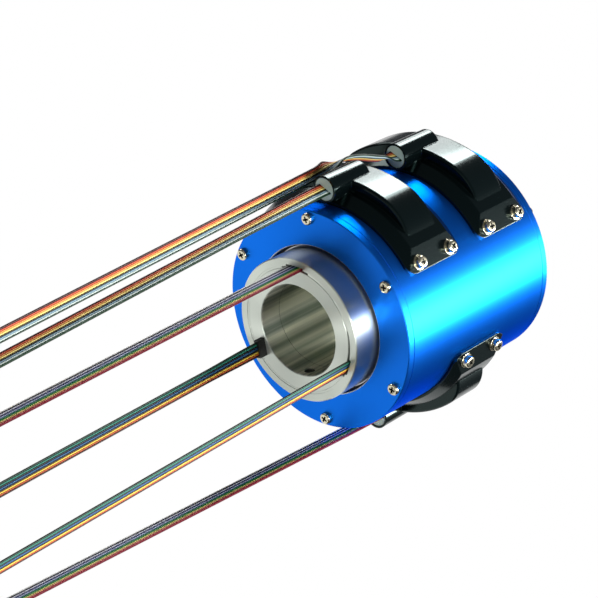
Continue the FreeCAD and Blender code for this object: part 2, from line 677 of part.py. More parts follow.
def exit_sleeve(place):
    """The pale plug in the tunnel's mouth, with a blind slot that the ribbon sits in."""
    front = -TUNNEL_FRONT + SLEEVE_RECESS
    plug = Part.makeCylinder(TUNNEL_BORE_R - SEAT_GAP, SLEEVE_LENGTH,
                             Vector(0, front, TUNNEL_AXIS_R), AXIS)
    slot = ribbon_blank(front - 1, front + SLEEVE_SLOT_DEPTH, TUNNEL_AXIS_R,
                        HOOD_LEAD_WIRES[place], HOOD_LEAD_TILTS[place], RIBBON_CLEARANCE)
    return on_hoods(turned(plug.cut(slot), TUNNEL_TURN), place)


# Brush blocks

def brush_block():
    """A moulded block that fills the window, with a boss for the lead's joints."""
    top = HOUSING_R - BLOCK_CLEARANCE
    half_width = WINDOW_HALF_WIDTH - BLOCK_CLEARANCE
    half_angle = WINDOW_HALF_ANGLE - math.degrees(BLOCK_CLEARANCE / HOUSING_R) * 1.5
    plate = sector(top - BLOCK_THICKNESS, top, half_angle, -half_width, half_width)
    boss = sector(top - 1, top + BLOCK_BOSS_HEIGHT, BLOCK_BOSS_HALF_ANGLE,
                  -BLOCK_BOSS_HALF_WIDTH, BLOCK_BOSS_HALF_WIDTH)
    return joined([plate, boss])


def brush_finger(side, y):
    """One leaf brush: from the block's underside it runs tangent to its ring."""
    root = polar(HOUSING_R - BLOCK_CLEARANCE - BLOCK_THICKNESS, side * BRUSH_ROOT_ANGLE)
    near_r = RING_R + BRUSH_GAP
    swing = math.degrees(math.acos(near_r / root.Length))
    contact_angle = side * (BRUSH_ROOT_ANGLE - swing)
    contact = polar(near_r, contact_angle)
    out = polar(BRUSH_THICKNESS, contact_angle)
    tip = contact + (contact - root).normalize() * BRUSH_OVERRUN
    points = [Vector(p.x, y - BRUSH_WIDTH / 2, p.z) for p in (root, tip, tip + out, root + out)]
    return Part.Face(Part.makePolygon(points + points[:1])).extrude(Vector(0, BRUSH_WIDTH, 0))


def brushes():
    """Two fingers on each ring of a group, one from each side."""
    plate = sector(HOUSING_R - BLOCK_CLEARANCE - BLOCK_THICKNESS, HOUSING_R, WINDOW_HALF_ANGLE,
                   -WINDOW_HALF_WIDTH, WINDOW_HALF_WIDTH)
    fingers = []
    for offset in ring_offsets():
        for side in (-1, 1):
            finger = brush_finger(side, offset + side * BRUSH_OFFSET)
            fingers += finger.cut(plate).Solids
    return Part.makeCompound(fingers)


# Ribbon leads

def ribbon_corners(middle, wires, tilt):
    """The closed outline of a flat lead's section, whose flat side faces the tilt angle."""
    across = polar(wires * WIRE_PITCH / 2, tilt + 90)
    up = polar(RIBBON_THICKNESS / 2, tilt)
    corners = [middle + across + up, middle + across - up, middle - across - up, middle - across + up]
    return Part.makePolygon(corners + corners[:1])


def falling_ribbon(start, straight, length, fall, wires, tilt):
    """A flat lead that runs straight out along the shaft for a while and then sinks."""
    corner = start - AXIS * straight
    run = length - straight
    out = Part.Face(ribbon_corners(start, wires, tilt)).extrude(corner - start)
    down = Part.Face(ribbon_corners(corner, wires, tilt)).extrude(Vector(0, -run, -run * fall))
    return joined([out, down])


def hood_lead_start(place):
    """Where a hood's ribbon starts: at the bottom of the slot in its sleeve."""
    y = HOOD_PLACES[place] - TUNNEL_FRONT + SLEEVE_RECESS + SLEEVE_SLOT_DEPTH
    return polar(TUNNEL_AXIS_R, HOOD_ANGLES[place] + TUNNEL_TURN, y)


def hood_lead_tilt(place):
    return HOOD_ANGLES[place] + TUNNEL_TURN + HOOD_LEAD_TILTS[place]


def straight_ribbon(place):
    return falling_ribbon(hood_lead_start(place), HOOD_LEAD_STRAIGHT, RIBBON_LENGTH,
                          HOOD_LEAD_FALLS[place], HOOD_LEAD_WIRES[place], hood_lead_tilt(place))


def rear_ribbon():
    """The rear hood's ribbon, which steps sideways to pass the front hood's tunnel."""
    start = hood_lead_start("rear")
    tilt = hood_lead_tilt("rear")
    wires = HOOD_LEAD_WIRES["rear"]
    sideways = polar(SIDE_STEP, tilt - 90)
    settled = start + sideways - AXIS * SIDE_STEP_SETTLED
    path = rounded_path([start, start - AXIS * SIDE_STEP_START,
                         start + sideways - AXIS * SIDE_STEP_END, settled])
    sweep = Part.BRepOffsetAPI.MakePipeShell(path)
    sweep.setBiNormalMode(polar(1, tilt))
    sweep.add(ribbon_corners(start, wires, tilt))
    sweep.build()
    sweep.makeSolid()
    run = RIBBON_LENGTH - SIDE_STEP_SETTLED
    down = Part.Face(ribbon_corners(settled, wires, tilt)).extrude(
        Vector(0, -run, -run * HOOD_LEAD_FALLS["rear"]))
    return joined([Part.Solid(sweep.shape()), down])


def rounded_path(route):
    """Straight runs joined by tangent arcs, each as large as its two runs allow."""
    edges = []
    at = route[0]
    for before, corner, after in zip(route, route[1:], route[2:]):
        back = (before - corner)
        ahead = (after - corner)
        half_turn = (math.pi - back.getAngle(ahead)) / 2
        reach = 0.45 * min(back.Length, ahead.Length)
        radius = reach / math.tan(half_turn)
        back.normalize()
        ahead.normalize()
        first = corner + back * reach
        last = corner + ahead * reach
        bisector = (back + ahead).normalize()
        middle = corner + bisector * (radius / math.cos(half_turn) - radius)
        edges.append(Part.makeLine(at, first))
        edges.append(Part.Arc(first, middle, last).toShape())
        at = last
    edges.append(Part.makeLine(at, route[-1]))
    return Part.Wire(edges)


def rotor_ribbon(name):
    angle = ROTOR_LEAD_ANGLES[name]
    start = polar(DRIVE_COLLAR_R + SEAT_GAP + RIBBON_THICKNESS / 2, angle, WEB_Y)
    return falling_ribbon(start, ROTOR_LEAD_STRAIGHT, RIBBON_LENGTH,
                          ROTOR_LEAD_FALLS[name], ROTOR_LEAD_WIRES[name], angle)


def boot_ribbon():
    return falling_ribbon(polar(BOOT_LEAD_R, BOOT_LEAD_ANGLE, WEB_Y), ROTOR_LEAD_STRAIGHT, RIBBON_LENGTH,
                          BOOT_LEAD_FALL, BOOT_LEAD_WIRES, BOOT_LEAD_ANGLE + BOOT_LEAD_TILT)


def lead_boot():
    outer = boot_hole(0, FACE_Y - BOOT_OUT, FACE_Y + BOOT_IN)
    inner = ribbon_blank(FACE_Y - BOOT_OUT - 1, FACE_Y + BOOT_IN + 1, BOOT_LEAD_R,
                         BOOT_LEAD_WIRES, BOOT_LEAD_TILT, SEAT_GAP)
    return outer.cut(turned(inner, BOOT_LEAD_ANGLE))


def all_nodes():
    """Every sub-part by name."""
    nodes = {
        "rotor_tube": rotor_tube(),
        "drive_collar": drive_collar(),
        "lead_collar": lead_collar(),
        "rear_collar": rear_collar(),
        "collar_screws": collar_screws(),
        "set_screws": set_screws(),
        "ring_carrier": ring_carrier(),
        "slip_rings": slip_rings(),
        "ring_wires": ring_wires(),
        "lead_boot": lead_boot(),
        "rotor_ribbon_top": rotor_ribbon("top"),
        "rotor_ribbon_side": rotor_ribbon("side"),
        "rotor_ribbon_boot": boot_ribbon(),
        "housing_barrel": housing_barrel(),
    }
    pairs = {
        "bearing_inner": front_bearing_inner(),
        "bearing_outer": front_bearing_outer(),
        "ball_cage": front_ball_cage(),
        "dust_shield": front_dust_shield(),
        "cover": front_cover(),
        "cover_screws": cover_screws(),
    }
    for name, shape in pairs.items():
        nodes["front_" + name] = shape
        nodes["rear_" + name] = mirrored_end(shape)
    for place in HOOD_PLACES:
        nodes[place + "_hood"] = on_hoods(hood(), place)
        nodes[place + "_hood_screws"] = on_hoods(pad_screws(), place)
        nodes[place + "_hood_washers"] = on_hoods(pad_washers(), place)
        nodes[place + "_exit_sleeve"] = exit_sleeve(place)
        nodes[place + "_brush_block"] = on_hoods(brush_block(), place)
        nodes[place + "_brushes"] = on_hoods(brushes(), place)
    nodes["front_ribbon"] = straight_ribbon("front")
    nodes["lower_ribbon"] = straight_ribbon("lower")
    nodes["rear_ribbon"] = rear_ribbon()
    return nodes


os.makedirs("parts", exist_ok=True)
for node, shape in all_nodes().items():
    if not shape.isValid():
        raise ValueError("not a valid solid: " + node)
    shape.exportStep("parts/" + node + ".step")
    print(node, len(shape.Solids), round(shape.Volume, 1))
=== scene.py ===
# %% [markdown]
# # A through-bore slip ring
# A slip ring passes current between a shaft and a housing that turn against each other.
# The shapes come from a CAD model, which is loaded first and stays where it is. This lesson
# dresses it: camera, ribbon leads, metal and plastic finishes, real screws, and the light.
# The shaft axis is Y, the front cover's face is at y = 0, and everything is in metres.

# %% Load the CAD frame
import math

import bmesh
import bpy
from mathutils import Matrix, Vector


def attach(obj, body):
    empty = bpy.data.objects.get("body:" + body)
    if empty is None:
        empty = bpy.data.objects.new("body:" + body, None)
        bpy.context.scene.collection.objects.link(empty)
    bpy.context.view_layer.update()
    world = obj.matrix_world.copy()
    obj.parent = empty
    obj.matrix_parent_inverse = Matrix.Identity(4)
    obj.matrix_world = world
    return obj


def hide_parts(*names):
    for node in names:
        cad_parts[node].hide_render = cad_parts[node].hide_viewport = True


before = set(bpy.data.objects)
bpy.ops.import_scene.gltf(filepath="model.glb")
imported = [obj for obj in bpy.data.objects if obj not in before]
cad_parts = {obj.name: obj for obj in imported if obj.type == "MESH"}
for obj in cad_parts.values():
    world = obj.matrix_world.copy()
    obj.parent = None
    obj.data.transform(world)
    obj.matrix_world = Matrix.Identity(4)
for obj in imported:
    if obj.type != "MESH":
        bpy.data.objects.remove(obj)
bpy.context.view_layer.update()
print("CAD nodes:", len(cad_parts))


def around_shaft(radius, angle, y=0.0):
    """A point at a radius and an angle about the shaft, from +Z towards +X, in metres."""
    a = math.radians(angle)
    return Vector((radius * math.sin(a), y, radius * math.cos(a)))


# %% [markdown]
# ## The camera
# The product was photographed from its right front corner, a little above. A long lens keeps the
# circles nearly true, so the camera stands over a metre away with a focal length of 126 mm.
# Its sight line doesn't quite meet the shaft, so it is moved sideways and up a little.

# %% Camera
camera_azimuth = math.radians(40.99)
camera_elevation = math.radians(26.13)
camera_distance = 1.1085
camera_sideways = -0.00983
camera_upwards = 0.01112
camera_lens = 126.42
film_width = 36
sight_limit = 20

to_camera = Vector((
    math.sin(camera_azimuth) * math.cos(camera_elevation),
    -math.cos(camera_azimuth) * math.cos(camera_elevation),
    math.sin(camera_elevation),
))
camera_right = Vector((math.cos(camera_azimuth), math.sin(camera_azimuth), 0))
camera_up = to_camera.cross(camera_right)

bpy.ops.object.camera_add()
camera = bpy.context.object
camera.name = "camera"
camera.data.lens = camera_lens
camera.data.sensor_width = film_width
camera.data.clip_end = sight_limit
turn = Matrix((camera_right, camera_up, to_camera)).transposed().to_4x4()
place = to_camera * camera_distance + camera_right * camera_sideways + camera_up * camera_upwards
camera.matrix_world = Matrix.Translation(place) @ turn
bpy.context.scene.camera = camera
print("camera stands at", [round(v, 3) for v in place])

# %% [markdown]
# ## Ribbon leads: the route
# Each lead is a flat ribbon of insulated wires bonded side by side, eight of them or ten. The real
# ones are held out nearly straight: a short straight piece, then a slight slope. The rear hood's
# ribbon has to pass the front hood's tunnel, so it steps sideways and rolls on edge while it bends.
# A row of straight boxes would kink at each point of the route. A NURBS curve through a few points
# bends smoothly instead, and turned into a mesh it gives the many points that the ribbon follows.

# %% Route of a ribbon
ribbon_length = 0.305
wire_pitch = 0.00105
wire_radius = 0.00053


def route_line(route):
    """Points along a smooth NURBS line through a route."""
    data = bpy.data.curves.new("route", "CURVE")
    data.dimensions = "3D"
    spline = data.splines.new("NURBS")
    spline.points.add(len(route) - 1)
    for point, place in zip(spline.points, route):
        point.co = (*place, 1)
    spline.order_u = 3
    spline.use_endpoint_u = True
    spline.resolution_u = 12
    holder = bpy.data.objects.new("route", data)
    bpy.context.scene.collection.objects.link(holder)
    mesh = bpy.data.meshes.new_from_object(holder)
    points = [v.co.copy() for v in mesh.vertices]
    bpy.data.objects.remove(holder)
    return points


# %% [markdown]
# ## Ribbon leads: the section
# Seen from its end, the ribbon is a row of circles that run into each other. Half of each circle is
# a bump on the top and the other half a bump underneath. The outline is swept along the line,
# and the UV map counts the wires across, so that each wire can take its own colour. Separate wires
# would need many more faces, and would leave out the bond between them.

# %% Ribbon section
bump_steps = 5
wire_share = 0.48


def section_outline(wire_count):
    """Points round the section: across, out of plane, and the place across from 0 to 1.

    That place stays inside the wire's own share, so no corner lies between two colours.
    """
    outline = []
    reach = math.acos(wire_pitch / 2 / wire_radius)
    for side in (1, -1):
        wires = range(wire_count) if side == 1 else reversed(range(wire_count))
        for wire in wires:
            centre = (wire - (wire_count - 1) / 2) * wire_pitch
            first = math.pi if wire == 0 else math.pi - reach
            last = 0.0 if wire == wire_count - 1 else reach
            if side == -1:
                first, last = last, first
            for step in range(bump_steps + 1):
                a = first + (last - first) * step / bump_steps
                across = centre + wire_radius * math.cos(a)
                out = side * wire_radius * math.sin(a)
                u = (wire + 0.5 + wire_share * math.cos(a)) / wire_count
                outline.append((across, out, u))
    return outline


def roll_at(rolls, distance):
    """The ribbon's roll in degrees at a distance along it, eased between stations."""
    for (d0, r0), (d1, r1) in zip(rolls, rolls[1:]):
        if distance <= d1:
            t = max(0.0, (distance - d0) / (d1 - d0))
            return r0 + (r1 - r0) * t * t * (3 - 2 * t)
    return rolls[-1][1]


# %% [markdown]
# ## Ribbon leads: the sweep
# At each point of the line the section is set square to the line and rolled. Each ring of corners
# is then joined to the one before it, and both ends are closed. A curve with a bevel object could
# sweep the section too, but it gives no UV map that counts the wires.

# %% Sweep the ribbon section
def ribbon_rings(mesh, points, outline, rolls):
    """The section's corners at each point of the line, with the distance travelled."""
    rings = []
    travelled = 0.0
    for i, point in enumerate(points):
        if i:
            travelled += (point - points[i - 1]).length
        ahead = points[min(i + 1, len(points) - 1)] - points[max(i - 1, 0)]
        ahead.normalize()
        roll = math.radians(roll_at(rolls, travelled))
        across = Vector((math.cos(roll), 0, -math.sin(roll)))
        across = (across - ahead * across.dot(ahead)).normalized()
        out = across.cross(ahead).normalized()
        ring = [mesh.verts.new(point + across * a + out * b) for a, b, u in outline]
        rings.append((ring, travelled))
    return rings


def ribbon_faces(mesh, uv_layer, rings, outline, wire_count):
    """Joins each ring to the next and closes the ends, with the UV map."""
    count = len(outline)
    for (near, near_along), (far, far_along) in zip(rings, rings[1:]):
        for j in range(count):
            k = (j + 1) % count
            face = mesh.faces.new((near[j], near[k], far[k], far[j]))
            face.smooth = True
            uj, uk = outline[j][2], outline[k][2]
            if int(uj * wire_count) != int(uk * wire_count):
                uj = uk
            corners = ((uj, near_along), (uk, near_along), (uk, far_along), (uj, far_along))
            for loop, uv in zip(face.loops, corners):
                loop[uv_layer].uv = uv
    for ring, along in (rings[0], rings[-1]):
        cap = mesh.faces.new(ring)
        for loop, (across, out, u) in zip(cap.loops, outline):
            loop[uv_layer].uv = (u, along)
    bmesh.ops.recalc_face_normals(mesh, faces=mesh.faces)


def ribbon(name, route, rolls, wire_count=8):
    """A ribbon along a route. rolls lists (distance, degrees) stations of its roll."""
    points = route_line(route)
    outline = section_outline(wire_count)
    mesh = bmesh.new()
    uv_layer = mesh.loops.layers.uv.new("across_and_along")
    rings = ribbon_rings(mesh, points, outline, rolls)
    ribbon_faces(mesh, uv_layer, rings, outline, wire_count)
    data = bpy.data.meshes.new(name)
    mesh.to_mesh(data)
    mesh.free()
    piece = bpy.data.objects.new(name, data)
    bpy.context.scene.collection.objects.link(piece)
    print(name, "faces:", len(data.polygons))
    return piece


# %% [markdown]
# ## Ribbon leads: the six of them
# Three leave the hoods and turn with the housing, and three leave the rotor's face.
# Each replaces the plain strip of the CAD model and starts and ends where that strip does.
# A hood is given by its angle round the shaft and its place along it. Its tunnel stands four
# degrees off its middle, and the ribbon starts inside the pale sleeve in the tunnel's mouth.

# %% Where the ribbons start
hoods = {"front": (-7.0, 0.0338), "lower": (168.0, 0.06325), "rear": (-7.0, 0.0927)}
tunnel_turn = 4.0
tunnel_radius = 0.071
hood_to_exit = 0.0205
tube_start = -0.002
rotor_lead_radius = 0.035
boot_lead_radius = 0.0297
top_angle = -4.0
side_angle = 106.5
boot_angle = -126.0


def tunnel_exit(hood):
    """Where the ribbon of a hood starts."""
    angle, y = hoods[hood]
    return around_shaft(tunnel_radius, angle + tunnel_turn, y - hood_to_exit)


front_exit = tunnel_exit("front")
lower_exit = tunnel_exit("lower")
rear_exit = tunnel_exit("rear")
top_exit = around_shaft(rotor_lead_radius, top_angle, tube_start)
side_exit = around_shaft(rotor_lead_radius, side_angle, tube_start)
boot_exit = around_shaft(boot_lead_radius, boot_angle, tube_start)
print("first lead starts at", [round(v, 4) for v in front_exit])

# %% [markdown]
# ## Ribbon leads: their routes
# Five leads run straight out and then slope a little. The rear hood's lead tilts over and steps
# aside past the front hood's tunnel, and from there on it stands on edge. Each lead's roll is a
# short list of stations along it, eased between them, which follows the twist of the real one.

# %% The six ribbons
hood_straight = 0.012
rotor_straight = 0.028
slope_shares = (0.15, 0.5, 1)


def sloping_route(start, straight, fall):
    """A line towards -Y that is straight at first and then sinks by fall for each unit it runs."""
    corner = start + Vector((0, -straight, 0))
    run = ribbon_length - straight
    return [start, corner] + [corner + Vector((0, -run * t, -run * fall * t)) for t in slope_shares]


hood_roll = 22.0
step_start = 0.0105
step_end = 0.029
step_settled = 0.049
step_aside = 0.0132
settled_drop = 0.0016
rear_fall = 0.045
side_step = around_shaft(step_aside, hood_roll - 90)
rear_route = [
    rear_exit,
    rear_exit + Vector((0, -step_start, 0)),
    rear_exit + side_step + Vector((0, -step_end, 0)),
]
for run in (step_settled, 0.1, 0.2, 0.304):
    fall = settled_drop + rear_fall * (run - step_settled)
    rear_route.append(rear_exit + side_step + Vector((0, -run, -fall)))

ribbons = {
    "front_ribbon": ribbon("front_ribbon_wires", sloping_route(front_exit, hood_straight, 0.05),
                           [(0, hood_roll), (0.012, hood_roll), (0.08, 11)]),
    "lower_ribbon": ribbon("lower_ribbon_wires", sloping_route(lower_exit, hood_straight, -0.055),
                           [(0, 172), (1, 172)], 10),
    "rear_ribbon": ribbon("rear_ribbon_wires", rear_route,
                          [(0, hood_roll), (0.004, hood_roll), (0.014, -37), (0.036, -37), (0.060, 95)]),
    "rotor_ribbon_top": ribbon("top_ribbon_wires", sloping_route(top_exit, rotor_straight, 0.017),
                               [(0, top_angle), (1, top_angle)], 10),
    "rotor_ribbon_side": ribbon("side_ribbon_wires", sloping_route(side_exit, rotor_straight, 0.02),
                                [(0, side_angle), (1, side_angle)]),
    "rotor_ribbon_boot": ribbon("boot_ribbon_wires", sloping_route(boot_exit, rotor_straight, 0.02),
                                [(0, 78), (0.022, 78), (0.06, 92)]),
}
for node, piece in ribbons.items():
    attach(piece, "rotor" if node.startswith("rotor") else "housing")
    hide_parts(node)

# %% [markdown]
# ## Colours and materials
# A screen colour is written as six hexadecimal digits. Blender's shaders want linear light, so one
# function converts it. Another starts each finish with the Principled shader, and one adds any
# node: each of its inputs is either linked to a socket or set to a plain value.
# A Mix node keeps one pair of sockets for each kind of value, so they are picked by number.

# %% Colour and material helpers
factor = 0
first_number = 2
second_number = 3
mixed_number = 0
first_colour = 6
second_colour = 7
mixed_colour = 2


def colour(code):
    """A screen colour such as 1f6fd0, in the linear values that shaders use."""
    channels = []
    for i in (0, 2, 4):
        c = int(code[i:i + 2], 16) / 255
        channels.append(c / 12.92 if c <= 0.04045 else ((c + 0.055) / 1.055) ** 2.4)
    return (*channels, 1.0)


def set_inputs(material, node, inputs):
    """Links each named input of a node to a socket, or sets it to a plain value."""
    for name, value in inputs.items():
        if isinstance(value, bpy.types.NodeSocket):
            material.node_tree.links.new(value, node.inputs[name])
        else:
            node.inputs[name].default_value = value


def add_node(material, kind, inputs=None, **settings):
    """A new node with its settings, links and plain values."""
    node = material.node_tree.nodes.new("ShaderNode" + kind)
    for setting, value in settings.items():
        setattr(node, setting, value)
    set_inputs(material, node, inputs or {})
    return node


def set_shader(material, inputs):
    """Links or sets inputs of the material's Principled shader."""
    set_inputs(material, material.node_tree.nodes["Principled BSDF"], inputs)


def set_ramp(node, stops):
    """Gives a colour ramp its stops, each a position and a screen colour."""
    elements = node.color_ramp.elements
    elements.remove(elements[1])
    elements[0].position = stops[0][0]
    elements[0].color = colour(stops[0][1])
    for position, code in stops[1:]:
        elements.new(position).color = colour(code)


def finish_named(name, base, metallic, roughness, inputs=None):
    """A new Principled material."""
    material = bpy.data.materials.new(name)
    material.use_nodes = True
    set_shader(material, {"Base Color": colour(base), "Metallic": metallic, "Roughness": roughness})
    set_shader(material, inputs or {})
    return material


def dress(material, nodes):
    """Gives CAD nodes their finish."""
    for node in nodes:
        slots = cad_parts[node].data.materials
        slots.clear()
        slots.append(material)
    print(material.name, "is on", ", ".join(nodes))


# %% [markdown]
# ## Places on the turned parts
# All the large metal parts are round, so their patterns read the distance from the shaft axis, the
# angle round it and the place along it instead of x, y and z. A few limits then tell one surface of
# a part from another, where it would also be possible to paint each face with its own material.

# %% Distances and angles round the shaft
bore_wall = 0.0257
collar_wall = 0.0398
cover_hole_edge = 0.0422
cover_chamfer = 0.0004


def shaft_place(material):
    """Sockets: the distance from the shaft axis, the angle round it and the place along it."""
    point = add_node(material, "TexCoord").outputs["Object"]
    split = add_node(material, "SeparateXYZ", {0: point}).outputs
    flat = add_node(material, "CombineXYZ", {"X": split["X"], "Y": split["Z"]})
    radius = add_node(material, "VectorMath", {0: flat.outputs[0]}, operation="LENGTH")
    angle = add_node(material, "Math", {0: split["X"], 1: split["Z"]}, operation="ARCTAN2")
    return {"radius": radius.outputs["Value"], "angle": angle.outputs[0], "along": split["Y"]}


# %% [markdown]
# ## Turned metal
# The housing, covers and collars were turned on a lathe, which leaves fine rings round the axis.
# Noise that reads only the distance from the axis and the place along it draws such rings. They
# drive a faint bump and the roughness, and the anisotropic shader stretches highlights across them.
# The tangent runs along the rings, so a quarter turn of the anisotropy sets the stretch across.
# Real rings are under a tenth of a millimetre apart, too fine to show, so these are coarser.

# %% Lathe marks
quarter_turn = 0.25


def lathe_marks(material, place, rings_per_mm, depth, smoothest, roughest):
    """Fine turned rings round the shaft, as bump and stretch. Gives their roughness as a socket."""
    point = add_node(material, "CombineXYZ", {"X": place["radius"], "Y": place["along"]}).outputs[0]
    rings = add_node(material, "TexNoise", {"Vector": point, "Scale": rings_per_mm * 1000, "Detail": 3})
    bump = add_node(material, "Bump", {
        "Height": rings.outputs["Fac"], "Strength": 0.25, "Distance": depth})
    tangent = add_node(material, "Tangent", direction_type="RADIAL", axis="Y")
    set_shader(material, {
        "Normal": bump.outputs["Normal"], "Tangent": tangent.outputs[0],
        "Anisotropic Rotation": quarter_turn})
    spread = add_node(material, "MapRange", {
        "Value": rings.outputs["Fac"], "To Min": smoothest, "To Max": roughest})
    return spread.outputs["Result"]


# %% [markdown]
# ## Blue anodised aluminium
# Barrel and covers are turned aluminium, anodised and dyed. The dye sits in a clear skin on bright
# metal, so to the eye it is a satin metal with a blue colour, and not a blue paint with white
# highlights. The edge of the front cover's hole was cut again after dyeing, so its chamfer is bare;
# its colour is painted near white, lighter than the silver of bare metal, as a painted highlight
# along the edge. The chamfer lies inside the hole's edge and within its own width of the front:
# where neither the radius nor the place along the shaft is past its limit, the bright colour shows.

# %% Blue anodised aluminium
anodised_blue = "1e7af0"
blue_anodised = finish_named("blue_anodised", anodised_blue, 1.0, 0.4, {
    "Anisotropic": 0.6, "Specular Tint": colour("1a80ff")})
place = shaft_place(blue_anodised)
past_edge = add_node(blue_anodised, "Math", {
    0: place["radius"], 1: cover_hole_edge}, operation="GREATER_THAN")
past_front = add_node(blue_anodised, "Math", {
    0: place["along"], 1: cover_chamfer}, operation="GREATER_THAN")
dyed = add_node(blue_anodised, "Math", {
    0: past_edge.outputs[0], 1: past_front.outputs[0]}, operation="MAXIMUM")
# The chamfer's near-white colour is bare metal brightened into a painted highlight along the edge.
dye_and_chamfer_highlight = add_node(blue_anodised, "Mix", {
    factor: dyed.outputs[0], first_colour: colour("eef2f2"), second_colour: colour(anodised_blue),
}, data_type="RGBA")
marks = lathe_marks(blue_anodised, place, rings_per_mm=2.6, depth=0.00003,
                    smoothest=0.36, roughest=0.5)
set_shader(blue_anodised, {"Base Color": dye_and_chamfer_highlight.outputs[mixed_colour], "Roughness": marks})
dress(blue_anodised, ["housing_barrel", "front_cover", "rear_cover"])

# %% [markdown]
# ## Silver collars and the bore
# A long tool cut the bore: it keeps fine rings, and streaks of light run along it. Those streaks
# are a painted reflection: noise that reads only the angle round the axis lightens and darkens the
# colour. They belong to the rotor tube and, because the bore runs through it too, to the drive
# collar's inner wall, which a test of the radius finds.

# %% Streaks along the bore, a painted reflection
silver = "dde4da"


def bore_painted_streaks(material, place):
    """A colour socket: grey-green to cream streaks along the bore as a painted reflection, and plain
    silver outside it.
    """
    # Painted reflection: streaks of light along the bore, drawn in the colour.
    streaks = add_node(material, "TexNoise", {"W": place["angle"], "Scale": 2.2, "Detail": 3},
                       noise_dimensions="1D")
    tones = add_node(material, "ValToRGB", {"Fac": streaks.outputs["Fac"]})
    set_ramp(tones, [(0.42, "8a9488"), (0.6, "f6f5e6")])
    outside = add_node(material, "Math", {0: place["radius"], 1: bore_wall}, operation="GREATER_THAN")
    wall = add_node(material, "Mix", {
        factor: outside.outputs[0], first_colour: tones.outputs["Color"],
        second_colour: colour(silver)}, data_type="RGBA")
    return wall.outputs[mixed_colour]


# %% [markdown]
# ## Silver collars
# The collars are clear anodised aluminium, a satin metal with a strong stretch of its highlights
# round the faces. Their outer wall carries the bearing and was finished finer, so it reflects more
# sharply. One material does both, with a test of the radius between the two roughnesses.

# %% Collar finish
outer_wall_roughness = 0.3
silver_turned = finish_named("silver_turned", silver, 1.0, 0.45, {"Anisotropic": 0.85})
place = shaft_place(silver_turned)
marks = lathe_marks(silver_turned, place, rings_per_mm=3.0, depth=0.00001,
                    smoothest=0.42, roughest=0.5)
outside = add_node(silver_turned, "Math", {
    0: place["radius"], 1: collar_wall}, operation="GREATER_THAN")
gloss = add_node(silver_turned, "Mix", {
    factor: outside.outputs[0], first_number: marks, second_number: outer_wall_roughness,
}, data_type="FLOAT")
set_shader(silver_turned, {
    "Base Color": bore_painted_streaks(silver_turned, place), "Roughness": gloss.outputs[mixed_number]})
dress(silver_turned, ["lead_collar", "drive_collar", "rear_collar"])

# %% [markdown]
# ## Ring in the collars' gap
# The narrow gap between the two collars shows as a faint line, open and dark only at the right.
# Elsewhere a thin ring lies in it, just below the faces. It is a rectangle spun round the shaft in
# two arcs, which leave room for the ribbons. A tube cut open with booleans would look the same, but
# the spin needs fewer steps and makes the ends by itself.

# %% Ring in the collars' gap
collar_face = -0.016
gap_inner = 0.0344
gap_outer = 0.0356
ring_clearance = 0.00005
ring_sink = 0.0002
ring_depth = 0.003
degrees_per_step = 3
smooth_below = math.radians(35)


def gap_arc(name, start, end):
    """A bar that fills the gap's width, spun round the shaft between two angles in degrees."""
    middle = around_shaft((gap_inner + gap_outer) / 2, start, collar_face + ring_sink + ring_depth / 2)
    bpy.ops.mesh.primitive_plane_add(size=1, location=middle)
    piece = bpy.context.object
    piece.name = name
    piece.rotation_euler.y = math.radians(start) + math.pi / 2
    piece.scale = (gap_outer - gap_inner - 2 * ring_clearance, ring_depth, 1)
    bpy.ops.object.transform_apply()
    bpy.ops.object.mode_set(mode="EDIT")
    bpy.ops.mesh.select_all(action="SELECT")
    bpy.ops.mesh.spin(steps=(end - start) // degrees_per_step, angle=math.radians(start - end),
                      center=(0, 0, 0), axis=(0, 1, 0))
    bpy.ops.mesh.select_all(action="SELECT")
    bpy.ops.mesh.normals_make_consistent(inside=False)
    bpy.ops.object.mode_set(mode="OBJECT")
    bpy.ops.object.shade_smooth_by_angle(angle=smooth_below)
    piece.data.materials.append(silver_turned)
    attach(piece, "rotor")
    print(name, "faces:", len(piece.data.polygons))


gap_arc("gap_ring_upper", 11, 72)
gap_arc("gap_ring_lower", 118, 341)

# %% [markdown]
# ## Bored rotor tube
# The rotor tube is a separate part behind the drive collar, and a fine dark line shows in the bore
# where the two meet. A groove so thin would be lost in the mesh, so the material draws the line: a
# test of the place along the shaft is true within the line's half width. The tube's rings are
# closer and deeper than the collars', because so long a tool shakes as it cuts.

# %% Bored rotor tube
joint_half_width = 0.00018
bored_metal = finish_named("bored_metal", "d6cab2", 1.0, 0.4, {"Anisotropic": 0.7})
place = shaft_place(bored_metal)
marks = lathe_marks(bored_metal, place, rings_per_mm=3.6, depth=0.00008,
                    smoothest=0.32, roughest=0.55)
joint = add_node(bored_metal, "Math", {
    0: place["along"], 1: tube_start, 2: joint_half_width}, operation="COMPARE")
tones = add_node(bored_metal, "Mix", {
    factor: joint.outputs[0], first_colour: bore_painted_streaks(bored_metal, place),
    second_colour: colour("2a241c")}, data_type="RGBA")
set_shader(bored_metal, {"Base Color": tones.outputs[mixed_colour], "Roughness": marks})
dress(bored_metal, ["rotor_tube"])

# %% [markdown]
# ## Moulded hoods
# The hoods are black glossy plastic from a polished mould. A clear dark base with a low roughness
# gives the sharp soft-box band on the arch, and a faint noise breaks it as mould grain does. Real
# grain is too fine to show, so it is drawn at about a millimetre. Moulded edges are never quite
# sharp, so a bevel node rounds them for the light, where a real bevel would have to be cut into the
# CAD mesh.

